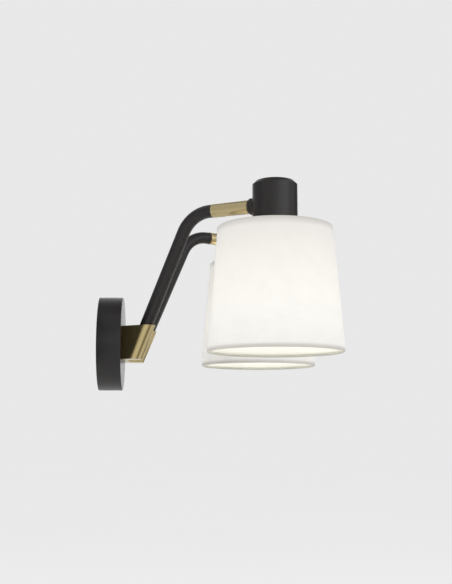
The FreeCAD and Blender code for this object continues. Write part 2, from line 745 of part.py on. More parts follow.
def pipe(label, side, sections, start, bends, end):
    """A piece of round section along a route in the arm's plane, which starts level."""
    owner = body(label)
    section = sketch(owner, "YZ_Plane", label + "_section", start[0])
    for diameter in sections:
        circle(section, "0", start[1], diameter)
    path = sketch(owner, "XZ_Plane", label + "_path")
    route(path, start, bends, end)
    swept = owner.newObject("PartDesign::AdditivePipe", label + "_swept")
    swept.Profile = section
    swept.Spine = (path, ["Edge%d" % (index + 1) for index in range(path.GeometryCount)])
    return keep(place(owner, arm_frame(side)))


def arm_tube(name, side):
    """Black steel tube from the bracket up to the sleeve."""
    start = ("%s - %s" % (ARM_REACH, SLEEVE_END), "arm_height")
    end = along_tube("tube_seat_depth - seat")
    sections = ("tube_diameter", "tube_diameter - 2 * tube_wall")
    return pipe(name + "_arm_tube", side, sections, start, [(*MAIN_BEND, "bend_radius", True)], end)


def lead(name, side):
    """Sheathed lead from the swivel's stud, down the tube and back to the terminal block."""
    start = ("%s - (%s)" % (ARM_REACH, STUD_END), "arm_height")
    foot = (lead_corner_x(), "-lead_hole_drop")
    lower = rounded(foot, DOWN_THE_TUBE, ("-1", "0"), "90 - tube_lean", "lead_bend")
    rise = ("lead_stand_off / cos(arm_splay)", "-lead_hole_drop")
    last = rounded(rise, ("-1", "0"), ("0", "1"), "90", "lead_bend")
    bends = [(*MAIN_BEND, "bend_radius", True), (*lower, "lead_bend", False), (*last, "lead_bend", False)]
    end = (rise[0], "block_base")
    return pipe(name + "_lead", side, ("lead_diameter",), start, bends, end)


def sleeve(name, side):
    """Brass end sleeve with a spigot in the tube and a thread for the stud."""
    outer = "sleeve_diameter / 2"
    spigot = "tube_diameter / 2 - tube_wall - fit"
    bore = "lead_diameter / 2 + seat"
    thread = "stud_diameter / 2 + fit"
    shoulder = "%s + stud_grip" % SLEEVE_START
    made = turned(name + "_sleeve", (
        (thread, SLEEVE_START), (outer, SLEEVE_START), (outer, SLEEVE_END), (spigot, SLEEVE_END),
        (spigot, "%s + spigot_length" % SLEEVE_END), (bore, "%s + spigot_length" % SLEEVE_END),
        (bore, shoulder), (thread, shoulder)))
    return keep(place(made, swivel_frame(side)))


# ---- swivel ---------------------------------------------------------------------------

CAP_INSIDE = "(cap_diameter / 2 - cap_wall)"
BRIDGE_OUTER = "(sqrt(%s * %s - bridge_width * bridge_width / 4) - seat)" % (CAP_INSIDE, CAP_INSIDE)
BRIDGE_INNER = "(%s - bridge_thickness)" % BRIDGE_OUTER
NUT_OUTER = "(%s - spring_washer_thickness)" % BRIDGE_INNER
STUD_END = "(%s - nut_thickness - stud_reach)" % NUT_OUTER
TURNING_HOLE = "(stud_diameter + 2 * fit)"


def swivel_stud(name, side):
    """Hollow stud, fixed in the sleeve, that the head turns on."""
    outer = "stud_diameter / 2"
    made = turned(name + "_swivel_stud", tube_section(
        "stud_bore / 2", outer, STUD_END, "%s + stud_grip - seat" % SLEEVE_START))
    return keep(place(made, swivel_frame(side)))


def friction_washer(name, side):
    """Nylon washer between the sleeve's end and the collar."""
    made = turned(name + "_friction_washer", tube_section(
        "%s / 2" % TURNING_HOLE, "washer_diameter / 2",
        "%s - washer_thickness" % SLEEVE_START, SLEEVE_START))
    return keep(place(made, swivel_frame(side)))


def swivel_collar(name, side):
    """Black collar that fills the gap between the washer and the cap's round side."""
    outer = "collar_diameter / 2"
    far = "(%s - washer_thickness - washer_play)" % SLEEVE_START
    near = "(cap_diameter / 2 - collar_length)"
    blank = turned(name + "_collar_blank", tube_section("%s / 2" % TURNING_HOLE, outer, near, far))
    round_rim(blank, name + "_collar_rim", outer, far, "collar_edge")
    place(blank, swivel_frame(side))
    side_of_cap = rod(name + "_collar_seat", "cap_diameter", "cap_diameter",
                      lamp_frame(side) + " * " + move(0, 0, "arm_height - cap_diameter / 2"))
    return keep(cut(name + "_swivel_collar", blank, [side_of_cap]))


def swivel_nut(name, side):
    """Nut on the stud's end inside the cap, over a spring washer."""
    washer = turned(name + "_spring_washer", tube_section(
        "stud_diameter / 2 + fit", "nut_flats / 2", NUT_OUTER, BRIDGE_INNER))
    keep(place(washer, swivel_frame(side)))
    keep(nut(name + "_swivel_nut", "%s - nut_thickness" % NUT_OUTER, swivel_frame(side)))


def nut(label, low, frame):
    made = body(label)
    section = sketch(made, "XY_Plane", label + "_section", low)
    hexagon(section, "nut_flats")
    circle(section, "0", "0", "stud_diameter + 2 * fit")
    pad(made, section, "nut_thickness")
    return place(made, frame)


# ---- cap and lampholder ---------------------------------------------------------------

CAP_TOP = "(arm_height + cap_top)"
CAP_MOUTH = "(arm_height - cap_bottom)"
HOLDER_TOP = "(arm_height - bridge_drop)"
HOLDER_BOTTOM = "(%s - holder_length)" % HOLDER_TOP
SOCKET_ROOF = "(%s - socket_roof)" % HOLDER_TOP
SPOKE_HEIGHT = "(arm_height - shade_top - hem_diameter / 2)"
FLANGE_HEIGHT = "(%s + carrier_thickness / 2 + fit)" % SPOKE_HEIGHT


def cap(name, side):
    """Black cap, open below, with a chamfer round its top."""
    outer = "cap_diameter / 2"
    roof = "%s - cap_wall" % CAP_TOP
    blank = turned(name + "_cap_blank", (
        (CAP_INSIDE, CAP_MOUTH), (outer, CAP_MOUTH), (outer, "%s - cap_chamfer" % CAP_TOP),
        ("%s - cap_chamfer" % outer, CAP_TOP), ("0", CAP_TOP), ("0", roof),
        ("%s - cap_chamfer" % CAP_INSIDE, roof), (CAP_INSIDE, "%s - cap_chamfer" % roof)))
    place(blank, lamp_frame(side))
    hole = rod(name + "_cap_hole", TURNING_HOLE, "cap_diameter / 2", swivel_frame(side))
    return keep(cut(name + "_cap", blank, [hole]))


def holder_bridge(name, side):
    """Bent strip behind the swivel nut whose level leg carries the lampholder."""
    made = body(name + "_holder_bridge")
    profile = sketch(made, "XZ_Plane", name + "_bridge_profile")
    under = "(%s - arm_height)" % HOLDER_TOP
    over = "(%s + bridge_thickness)" % under
    top = "nut_flats / 2 + bridge_thickness"
    outline(profile, (
        (BRIDGE_OUTER, under), (BRIDGE_OUTER, top), (BRIDGE_INNER, top), (BRIDGE_INNER, over),
        ("-bridge_tail", over), ("-bridge_tail", under)))
    pad(made, profile, "bridge_width", midplane=True)
    for role, carried in (("YZ_Plane", "swivel"), ("XY_Plane", "nipple")):
        drilled = sketch(made, role, "%s_bridge_%s_hole" % (name, carried))
        circle(drilled, "0", "0", TURNING_HOLE)
        drill(made, drilled)
    frame = move("%d * lamp_spacing / 2" % side, "-lamp_reach", "arm_height")
    return keep(place(made, frame + " * " + turn((0, 0, 1), "90 + %d * arm_splay" % side)))


def holder_nipple(name, side):
    """Threaded nipple, and the nut on it, that hold the lampholder on the bridge."""
    low = "(%s - nipple_length / 2)" % HOLDER_TOP
    made = turned(name + "_holder_nipple", tube_section(
        "stud_bore / 2", "stud_diameter / 2", low, "%s + nipple_length" % low))
    keep(place(made, lamp_frame(side)))
    keep(nut(name + "_nipple_nut", "%s + bridge_thickness" % HOLDER_TOP, lamp_frame(side)))


def lampholder(name, side):
    """Plastic lampholder with a flange and a threaded skirt for the shade ring."""
    body_edge = "holder_diameter / 2"
    flange = "flange_diameter / 2"
    skirt = "skirt_diameter / 2"
    socket = "socket_diameter / 2"
    entry = "stud_diameter / 2 + fit"
    entry_floor = "%s - nipple_length / 2 - seat" % HOLDER_TOP
    flange_top = "%s + flange_thickness" % FLANGE_HEIGHT
    made = turned(name + "_lampholder", (
        (entry, HOLDER_TOP), ("%s - holder_shoulder" % body_edge, HOLDER_TOP),
        (body_edge, "%s - holder_shoulder" % HOLDER_TOP), (body_edge, flange_top),
        (flange, flange_top), (flange, FLANGE_HEIGHT), (skirt, FLANGE_HEIGHT),
        (skirt, HOLDER_BOTTOM), (socket, HOLDER_BOTTOM), (socket, SOCKET_ROOF), ("0", SOCKET_ROOF),
        ("0", entry_floor), (entry, entry_floor)))
    return keep(place(made, lamp_frame(side)))


def cores(name, side):
    """Stripped cores from the stud down into the nipple, which turn with the head."""
    start = ("-(%s)" % STUD_END, "0")
    bend = rounded(("0", "0"), ("1", "0"), ("0", "-1"), "90", "core_bend")
    end = ("0", "%s - arm_height - nipple_length / 2 + seat" % HOLDER_TOP)
    owner = body(name + "_cores")
    section = sketch(owner, "YZ_Plane", name + "_cores_section", start[0])
    circle(section, "0", "0", "core_diameter")
    path = sketch(owner, "XZ_Plane", name + "_cores_path")
    route(path, start, [(*bend, "core_bend", False)], end)
    swept = owner.newObject("PartDesign::AdditivePipe", name + "_cores_swept")
    swept.Profile = section
    swept.Spine = (path, ["Edge1", "Edge2", "Edge3"])
    frame = move("%d * lamp_spacing / 2" % side, "-lamp_reach", "arm_height")
    return keep(place(owner, frame + " * " + turn((0, 0, 1), "-90 + %d * arm_splay" % side)))


def lamp(name, side):
    """Screw-base lamp: the metal base, and the glass that stands out of the skirt."""
    top = "(%s - seat)" % SOCKET_ROOF
    rim = "(%s - lamp_base_length)" % top
    contact = "%s - lamp_base_taper / 2" % top
    shell = "%s - lamp_base_taper" % top
    base = turned(name + "_lamp_base", (
        ("0", top), ("lamp_contact_diameter / 2", top), ("lamp_contact_diameter", contact),
        ("lamp_base_diameter / 2", shell), ("lamp_base_diameter / 2", rim), ("0", rim)))
    keep(place(base, lamp_frame(side)))
    tip = "(%s - lamp_length)" % top
    middle = "(%s + lamp_diameter / 2)" % tip
    neck = "(%s - lamp_neck_length)" % rim
    glass = body(name + "_lamp_glass")
    section = sketch(glass, "XZ_Plane", name + "_glass_section")
    glass_section(section, rim, neck, middle)
    spun = glass.newObject("PartDesign::Revolution", name + "_glass_turned")
    spun.Profile = section
    spun.ReferenceAxis = (section, ["V_Axis"])
    spun.Angle = FULL_TURN
    return keep(place(glass, lamp_frame(side)))


def glass_section(drawing, rim, neck, middle):
    """Half of the bulb's wall: a neck, a cone that widens, and three quarters of a ball."""
    narrow = "lamp_neck_diameter / 2"
    ends = []
    for wall in ("0", "glass_wall"):
        radius = "(lamp_diameter / 2 - %s)" % wall
        at_rim = ("%s - %s" % (narrow, wall), rim)
        at_neck = ("%s - %s" % (narrow, wall), neck)
        join = ("%s * cos(cone_angle)" % radius, "%s + %s * sin(cone_angle)" % (middle, radius))
        foot = ("0", "%s - %s" % (middle, radius))
        neck_line = line(drawing, at_rim, at_neck)
        cone_line = line(drawing, at_neck, join)
        fix(drawing, neck_line, 1, *at_rim)
        fix(drawing, cone_line, 1, *at_neck)
        ball = ball_arc(drawing, radius, middle, join, foot)
        drawing.addConstraint(Sketcher.Constraint("Coincident", neck_line, 2, cone_line, 1))
        drawing.addConstraint(Sketcher.Constraint("Coincident", cone_line, 2, ball, 2))
        ends.append(((neck_line, at_rim), (ball, foot)))
    for outer, inner in zip(*ends):
        closing = line(drawing, outer[1], inner[1])
        drawing.addConstraint(Sketcher.Constraint("Coincident", closing, 1, outer[0], 1))
        drawing.addConstraint(Sketcher.Constraint("Coincident", closing, 2, inner[0], 1))


def ball_arc(drawing, radius, middle, join, foot):
    """An arc about the bulb's centre, from its tip up to where the cone leaves it."""
    centre = Vector(0, number(middle), 0)
    whole = Part.Circle(centre, Vector(0, 0, 1), number(radius))
    tips = [whole.parameter(Vector(number(x), number(y), 0)) for x, y in (foot, join)]
    index = drawing.addGeometry(Part.ArcOfCircle(whole, *tips))
    fix(drawing, index, 1, *foot)
    fix(drawing, index, 2, *join)
    size = Sketcher.Constraint("Radius", index, number(radius))
    drawing.setExpression("Constraints[%d]" % drawing.addConstraint(size), linked(radius))
    return index


# ---- shade ----------------------------------------------------------------------------

CARRIER_TOP = "(%s - fit)" % FLANGE_HEIGHT
CARRIER_INSIDE = "(skirt_diameter / 2 + screw_play)"
TOP_RING_RADIUS = "(shade_top_diameter / 2 - hem_diameter / 2)"
TOP_RING_HEIGHT = SPOKE_HEIGHT
BOTTOM_RING_RADIUS = "(shade_bottom_diameter / 2 - hem_diameter / 2)"
BOTTOM_RING_HEIGHT = "(arm_height - shade_drop + hem_diameter / 2)"


def shade_ring(name, side):
    """Ring on the lampholder's skirt that clamps the shade carrier."""
    inner = "skirt_diameter / 2 + fit"
    top = "%s - carrier_thickness - fit" % CARRIER_TOP
    made = turned(name + "_shade_ring", tube_section(
        inner, "%s + ring_width" % inner, "%s - ring_height" % top, top))
    return keep(place(made, lamp_frame(side)))


def torus(name, side, radius, height, thickness):
    made = doc.addObject("Part::Torus", name)
    bind(made, Radius1=radius, Radius2="(%s) / 2" % thickness)
    return place(made, lamp_frame(side) + " * " + move(0, 0, height))


def spokes(name, side, diameter, start, end):
    """Level rods, evenly spaced, between two distances from the lamp's axis."""
    rods = []
    for index in range(SPOKES):
        angle = FULL_TURN * index // SPOKES + 90
        outwards = turn((0, 0, 1), angle) + " * " + turn((0, 1, 0), 90, (start, "0", SPOKE_HEIGHT))
        frame = lamp_frame(side) + " * " + outwards
        rods.append(rod("%s_%d" % (name, index + 1), diameter, "(%s) - (%s)" % (end, start), frame))
    return rods


def shade_carrier(name, side):
    """Centre ring, three spokes and the upper wire ring, welded into one piece."""
    low = "%s - carrier_thickness" % CARRIER_TOP
    hub = turned(name + "_carrier_hub", tube_section(
        CARRIER_INSIDE, "%s + carrier_width" % CARRIER_INSIDE, low, CARRIER_TOP))
    place(hub, lamp_frame(side))
    wire = torus(name + "_upper_wire", side, TOP_RING_RADIUS, TOP_RING_HEIGHT, "spoke_diameter")
    start = "%s + carrier_width - spoke_diameter / 4" % CARRIER_INSIDE
    arms = spokes(name + "_spoke", side, "spoke_diameter", start, TOP_RING_RADIUS)
    made = doc.addObject("Part::MultiFuse", name + "_shade_carrier")
    made.Label = name + "_shade_carrier"
    made.Shapes = [hub, wire] + arms
    return keep(made)


def lower_wire(name, side):
    """Wire ring in the lower hem."""
    made = torus(name + "_lower_wire", side, BOTTOM_RING_RADIUS, BOTTOM_RING_HEIGHT, "wire_diameter")
    made.Label = name + "_lower_wire"
    return keep(made)


def cone(name, side, inset):
    made = doc.addObject("Part::Cone", name)
    bind(made, Radius1="shade_bottom_diameter / 2 - %s" % inset,
         Radius2="shade_top_diameter / 2 - %s" % inset,
         Height="%s - %s" % (TOP_RING_HEIGHT, BOTTOM_RING_HEIGHT))
    return place(made, lamp_frame(side) + " * " + move(0, 0, BOTTOM_RING_HEIGHT))


def shade(name, side):
    """Tapered fabric shade whose hems roll round the wires and are open inwards."""
    skin = cut(name + "_shade_skin", cone(name + "_shade_outside", side, "0"),
               [cone(name + "_shade_inside", side, "shade_wall")])
    hems = [torus(name + "_upper_hem", side, TOP_RING_RADIUS, TOP_RING_HEIGHT, "hem_diameter"),
            torus(name + "_lower_hem", side, BOTTOM_RING_RADIUS, BOTTOM_RING_HEIGHT, "hem_diameter")]
    blank = doc.addObject("Part::MultiFuse", name + "_shade_blank")
    blank.Shapes = [skin] + hems
    hollow = "hem_diameter - 2 * hem_wall"
    tools = [torus(name + "_upper_hollow", side, TOP_RING_RADIUS, TOP_RING_HEIGHT, hollow),
             torus(name + "_lower_hollow", side, BOTTOM_RING_RADIUS, BOTTOM_RING_HEIGHT, hollow)]
    slit = "hem_wall"
    for level, radius, height in (("upper", TOP_RING_RADIUS, TOP_RING_HEIGHT),
                                  ("lower", BOTTOM_RING_RADIUS, BOTTOM_RING_HEIGHT)):
        tools.append(rod("%s_%s_slit" % (name, level), "2 * (%s - hem_diameter / 4)" % radius, slit,
                         lamp_frame(side) + " * " + move(0, 0, "%s - %s / 2" % (height, slit))))
    tools += spokes(name + "_spoke_notch", side, "spoke_diameter + 2 * seat",
                    "%s - hem_diameter" % TOP_RING_RADIUS, TOP_RING_RADIUS)
    return keep(cut(name + "_shade", blank, tools))


# ---- the whole light ------------------------------------------------------------------

wall_cover()
mounting_plate()
cover_screws()
feed_grommet()
lead_grommets()
terminal_block()
terminal_screws()
earth_terminal()
bracket()
tube_screws()
bracket_bolts()
for name, side in SIDES:
    arm_tube(name, side)
    lead(name, side)
    sleeve(name, side)
    swivel_stud(name, side)
    friction_washer(name, side)
    swivel_collar(name, side)
    swivel_nut(name, side)
    cap(name, side)
    holder_bridge(name, side)
    holder_nipple(name, side)
    lampholder(name, side)
    cores(name, side)
    lamp(name, side)
    shade_ring(name, side)
    shade_carrier(name, side)
    lower_wire(name, side)
    shade(name, side)
doc.recompute()

failed = [thing.Label for thing in doc.Objects if {"Invalid", "Error"} & set(thing.State)]
if failed:
    raise RuntimeError("these did not build: " + ", ".join(failed))
for piece in pieces:
    if piece.Shape.isNull() or not piece.Shape.isValid():
        raise RuntimeError("%s has no valid shape" % piece.Label)

os.makedirs("parts", exist_ok=True)
for piece in pieces:
    piece.Shape.exportStep("parts/%s.step" % piece.Label)
    print("%-24s solids %d  volume %.0f" % (piece.Label, len(piece.Shape.Solids), piece.Shape.Volume))
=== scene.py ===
import json
import math

import bpy
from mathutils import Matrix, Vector


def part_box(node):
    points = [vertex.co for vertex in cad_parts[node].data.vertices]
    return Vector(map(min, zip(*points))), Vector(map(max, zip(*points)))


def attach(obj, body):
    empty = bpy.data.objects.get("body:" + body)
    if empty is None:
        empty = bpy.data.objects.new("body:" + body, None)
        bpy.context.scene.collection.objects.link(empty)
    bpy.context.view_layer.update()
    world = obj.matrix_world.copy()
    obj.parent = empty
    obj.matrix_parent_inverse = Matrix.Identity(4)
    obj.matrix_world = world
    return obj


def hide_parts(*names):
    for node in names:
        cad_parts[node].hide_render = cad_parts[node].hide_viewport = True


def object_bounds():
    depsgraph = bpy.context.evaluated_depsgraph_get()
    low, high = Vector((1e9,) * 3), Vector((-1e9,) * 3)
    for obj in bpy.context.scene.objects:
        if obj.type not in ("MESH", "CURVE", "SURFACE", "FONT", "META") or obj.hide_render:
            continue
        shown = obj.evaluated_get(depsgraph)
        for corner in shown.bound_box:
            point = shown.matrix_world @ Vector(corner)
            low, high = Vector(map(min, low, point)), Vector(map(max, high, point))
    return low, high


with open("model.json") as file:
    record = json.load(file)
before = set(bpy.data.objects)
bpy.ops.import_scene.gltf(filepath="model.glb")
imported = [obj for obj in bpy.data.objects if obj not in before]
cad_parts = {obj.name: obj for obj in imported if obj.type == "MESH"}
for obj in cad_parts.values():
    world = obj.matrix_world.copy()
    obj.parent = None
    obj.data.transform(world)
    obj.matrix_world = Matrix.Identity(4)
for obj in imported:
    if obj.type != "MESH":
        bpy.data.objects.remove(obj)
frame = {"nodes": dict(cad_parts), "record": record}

# A double arm wall light, dressed over its CAD frame. Everything is in metres, in the
# frame's own axes: the wall is the plane y = 0, the light stands out towards -Y, +Z is up.

CAD_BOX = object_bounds()
MM = 0.001
SIDES = ("left", "right")

# the photograph's viewpoint
IMAGE_HEIGHT_PX = 584
FOCAL_LENGTH_PX = 956
SENSOR_HEIGHT_MM = 24
CAMERA_AT = Vector((-1.2404, -0.1033, -0.1093))
CAMERA_YAW = math.radians(2.774)
CAMERA_PITCH = math.radians(8.168)

# the studio
BACKDROP = 0.81
FLOOR_DROP = 0.45
FLOOR_SIZE = 400
FLOOR_COLOUR = 0.90
FLOOR_VARIATION = 0.005
SQUARE = ((-1, -1), (1, -1), (1, 1), (-1, 1))

# the shades
SHADE_TOP_RADIUS = 68.7 * MM
HEM_RADIUS = 1.8 * MM
HEM_TURN = math.radians(230)
HEM_TUCK = 1.7 * MM
HEM_CLOTH = 0.4 * MM
HEM_SINK = 0.06 * MM
HEM_RIPPLE = 0.012 * MM
HEM_STEPS = 20
HEM_INSIDE = HEM_TUCK + HEM_RADIUS * math.radians(120)
LOWER_MARGIN = 4.5 * MM
UPPER_MARGIN = 9 * MM
MARGIN_SHARE = 0.5
SEAM_WIDTH = 9 * MM
SEAM_STEP = 0.35 * MM
THREAD_PITCH = 0.5 * MM
PANEL_ROWS = 24
ROUND_STEPS = 192

# the lamps
LEAST_GLOW = 1.0
NECK_GLOW = 6.0
TIP_GLOW = 9.6
NECK_POWER = 4.0
TIP_POWER = 3.0
NECK_COLOUR = (1.0, 0.78, 0.45, 1)
TIP_COLOUR = (0.95, 1.0, 0.87, 1)

# the lampholders
GRIP_RIBS = 24
GRIP_DEPTH = 0.7 * MM
GRIP_EDGE = 0.6 * MM
GRIP_PLAY = 0.05 * MM
SKIRT_RADIUS = 19.5 * MM
THREAD_RISE = 2.5 * MM
THREAD_HEIGHT = 0.7 * MM
THREAD_FOOT = 1.5 * MM
THREAD_CREST = 0.6 * MM
THREAD_SINK = 0.02 * MM
THREAD_STEPS = 72
THREAD_FADE = 12


# ---- mesh -----------------------------------------------------------------------------


def mesh_object(name, points, faces, marks, material, smooth=True):
    """An object from points and faces. marks holds each face's UV corners, in metres."""
    mesh = bpy.data.meshes.new(name)
    mesh.from_pydata(points, [], faces)
    layer = mesh.uv_layers.new(name="flat")
    for polygon, corners in zip(mesh.polygons, marks):
        polygon.use_smooth = smooth
        for loop, corner in zip(polygon.loop_indices, corners):
            layer.data[loop].uv = corner
    mesh.materials.append(material)
    made = bpy.data.objects.new(name, mesh)
    bpy.context.scene.collection.objects.link(made)
    return made


def lengths_along(profile):
    """How far along the profile each of its points lies."""
    total = 0.0
    run = [total]
    for (r0, z0), (r1, z1) in zip(profile, profile[1:]):
        total += math.hypot(r1 - r0, z1 - z0)
        run.append(total)
    return run


def round_point(centre, angle, radius, height):
    """A point at this angle and distance from the upright axis through the centre."""
    return (centre.x + radius * math.cos(angle), centre.y + radius * math.sin(angle), height)


def lathe(name, centre, profile, material, closed=False, start=0.0, sweep=math.tau, shape=None):
    """Turns a profile of (radius, height) points round an upright axis.

    shape(angle, radius, height) may give a point another radius.
    """
    whole = abs(sweep - math.tau) < 1e-6
    steps = max(4, round(ROUND_STEPS * sweep / math.tau))
    if closed:
        profile = profile + profile[:1]
    run = lengths_along(profile)
    mean = sum(radius for radius, _ in profile) / len(profile)
    count = len(profile) - 1 if closed else len(profile)
    columns = steps if whole else steps + 1
    points = []
    for column in range(columns):
        angle = start + sweep * column / steps
        for radius, height in profile[:count]:
            if shape:
                radius = shape(angle, radius, height)
            points.append(round_point(centre, angle, radius, height))
    faces = []
    marks = []
    for column in range(steps):
        here = column * count
        there = (column + 1) % columns * count
        us = [(start + sweep * (column + along) / steps) * mean for along in (0, 1)]
        for row in range(len(profile) - 1):
            after = (row + 1) % count
            faces.append((here + row, there + row, there + after, here + after))
            low, high = run[row], run[row + 1]
            marks.append(((us[0], low), (us[1], low), (us[1], high), (us[0], high)))
    return mesh_object(name, points, faces, marks, material)


def arc(middle, radius, start, end, steps):
    """Points of an arc in a profile, angles in radians from outwards."""
    angles = [start + (end - start) * step / steps for step in range(steps + 1)]
    return [(middle[0] + radius * math.cos(a), middle[1] + radius * math.sin(a)) for a in angles]


def centre_of(node):
    low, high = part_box(node)
    return (low + high) / 2


# ---- materials ------------------------------------------------------------------------


def node(tree, kind, values=(), **settings):
    """Adds a shader node.

    values maps an input's name or index to a number, a colour or another node's output.
    """
    made = tree.nodes.new("ShaderNode" + kind)
    for name, value in settings.items():
        setattr(made, name, value)
    for name, value in dict(values).items():
        if isinstance(value, bpy.types.NodeSocket):
            tree.links.new(value, made.inputs[name])
        else:
            made.inputs[name].default_value = value
    return made


def surface(name, **fixed):
    """A material with one Principled shader, whose fixed inputs are set on its own sockets."""
    made = bpy.data.materials.new(name)
    made.use_nodes = True
    tree = made.node_tree
    tree.nodes.clear()
    named = {key.replace("_", " "): value for key, value in fixed.items()}
    shader = node(tree, "BsdfPrincipled", named)
    output = node(tree, "OutputMaterial", {"Surface": shader.outputs[0]})
    return made, tree, shader, output


def place_of(tree):
    return node(tree, "TexCoord").outputs["Object"]


def noise(tree, at, scale, detail=2.0):
    return node(tree, "TexNoise", {"Vector": at, "Scale": scale, "Detail": detail}).outputs[0]


def between(tree, factor, low, high):
    """Spreads the middle of a noise, which seldom leaves 0.25 to 0.75, from low to high."""
    spread = node(tree, "MapRange", {"Value": factor, 1: 0.25, 2: 0.75, 3: low, 4: high})
    return spread.outputs[0]


def shades_between(tree, factor, dark, light):
    ramp = node(tree, "ValToRGB", {"Fac": factor})
    for stop, place, colour in zip(ramp.color_ramp.elements, (0.25, 0.75), (dark, light)):
        stop.position = place
        stop.color = (*colour, 1.0)
    return ramp.outputs[0]


def arithmetic(tree, operation, *numbers):
    made = node(tree, "Math", dict(enumerate(numbers)), operation=operation)
    return made.outputs[0]


def blend(tree, factor, none, full):
    """The colour none where the factor is 0, and the colour full where it is 1."""
    return node(tree, "Mix", {0: factor, 6: none, 7: full}, data_type="RGBA").outputs[2]


def raised(tree, height, distance, strength=1.0, under=None):
    values = {"Height": height, "Distance": distance, "Strength": strength}
    if under:
        values["Normal"] = under
    return node(tree, "Bump", values).outputs[0]


def grain(tree, along, scales, detail=3.0):
    """Noise drawn out along a direction. scales holds how fine it is along it and across it."""
    along = Vector(along).normalized()
    side = along.cross(Vector((0, 0, 1)) if abs(along.z) < 0.9 else Vector((1, 0, 0))).normalized()
    place = place_of(tree)
    parts = []
    for axis, scale in zip((along, side, along.cross(side)), (scales[0], scales[1], scales[1])):
        product = node(tree, "VectorMath", {0: place, 1: axis * scale}, operation="DOT_PRODUCT")
        parts.append(product.outputs["Value"])
    drawn = node(tree, "CombineXYZ", dict(enumerate(parts))).outputs[0]
    return noise(tree, drawn, 1.0, detail)


def join(tree, shader, **inputs):
    for key, socket in inputs.items():
        tree.links.new(socket, shader.inputs[key.replace("_", " ")])


def black_paint():
    """Satin powder paint: nearly black, with a fine orange peel."""
    made, tree, shader, _ = surface("black_paint", Specular_IOR_Level=0.40)
    at = place_of(tree)
    cloud = noise(tree, at, 18.0, 3.0)
    peel = noise(tree, at, 1300.0, 2.0)
    join(tree, shader,
         Base_Color=shades_between(tree, cloud, (0.0070, 0.0056, 0.0052), (0.0096, 0.0078, 0.0074)),
         Roughness=between(tree, noise(tree, at, 260.0, 4.0), 0.33, 0.41),
         Normal=raised(tree, peel, 0.03 * MM, 0.5))
    return made


def metal(name, dark, light, along, scales, rough, groove, lacquer=0.0):
    """Metal with a fine grain along a direction, bare or under a clear lacquer."""
    made, tree, shader, _ = surface(name, Metallic=1.0, Coat_Weight=lacquer, Coat_Roughness=0.12)
    lines = grain(tree, along, scales)
    cloud = noise(tree, place_of(tree), 35.0, 3.0)
    mixed = arithmetic(tree, "ADD", arithmetic(tree, "MULTIPLY", lines, 0.6),
                       arithmetic(tree, "MULTIPLY", cloud, 0.4))
    join(tree, shader,
         Base_Color=shades_between(tree, mixed, dark, light),
         Roughness=between(tree, lines, *rough),
         Normal=raised(tree, lines, groove, 0.6))
    return made


def zinc():
    """Zinc plate with faint spangles."""
    made, tree, shader, _ = surface("zinc_steel", Metallic=1.0)
    at = place_of(tree)
    spangle = node(tree, "TexVoronoi", {"Vector": at, "Scale": 260.0}).outputs["Color"]
    tone = node(tree, "SeparateColor", {0: spangle}).outputs[0]
    join(tree, shader,
         Base_Color=shades_between(tree, tone, (0.50, 0.51, 0.52), (0.62, 0.62, 0.61)),
         Roughness=between(tree, tone, 0.30, 0.42),
         Normal=raised(tree, noise(tree, at, 900.0, 3.0), 0.02 * MM, 0.5))
    return made


def moulded(name, dark, light, rough, texture_scale, depth, specular=0.5):
    """Moulded plastic or rubber with a fine spark-eroded texture."""
    made, tree, shader, _ = surface(name, Specular_IOR_Level=specular)
    at = place_of(tree)
    join(tree, shader,
         Base_Color=shades_between(tree, noise(tree, at, 40.0, 3.0), dark, light),
         Roughness=between(tree, noise(tree, at, 500.0, 3.0), *rough),
         Normal=raised(tree, noise(tree, at, texture_scale, 2.0), depth, 0.6))
    return made


def lamp_glass():
    """White frosted glass that glows, most at its tip and warmer at its neck."""
    made, tree, shader, _ = surface("lamp_glass", Base_Color=(0.95, 0.94, 0.92, 1),
                                    Specular_IOR_Level=0.5)
    at = place_of(tree)
    low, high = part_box("left_lamp_glass")
    height = node(tree, "SeparateXYZ", {0: at}).outputs["Z"]
    way_down = node(tree, "MapRange", {"Value": height, 1: high.z, 2: low.z}).outputs[0]
    at_neck = arithmetic(tree, "POWER", arithmetic(tree, "SUBTRACT", 1.0, way_down), NECK_POWER)
    at_tip = arithmetic(tree, "POWER", way_down, TIP_POWER)
    glow = blend(tree, way_down, NECK_COLOUR, TIP_COLOUR)
    strength = arithmetic(tree, "MULTIPLY_ADD", at_neck, NECK_GLOW, LEAST_GLOW)
    join(tree, shader,
         Roughness=between(tree, noise(tree, at, 700.0, 2.0), 0.42, 0.55),
         Emission_Color=glow,
         Emission_Strength=arithmetic(tree, "MULTIPLY_ADD", at_tip, TIP_GLOW, strength))
    return made


def glued_margin(tree, along, rise):
    """1 on the open cloth, falling to 0 at its two edges, where a margin is glued behind it."""
    # this mask sets both the margins' real hold-back of light and the painted shade at the rims
    edges = []
    for start, end in ((0.0, LOWER_MARGIN), (rise, rise - UPPER_MARGIN)):
        edge = node(tree, "MapRange", {"Value": along, 1: start, 2: end},
                    interpolation_type="SMOOTHSTEP")
        edges.append(edge.outputs[0])
    return arithmetic(tree, "MULTIPLY", *edges)


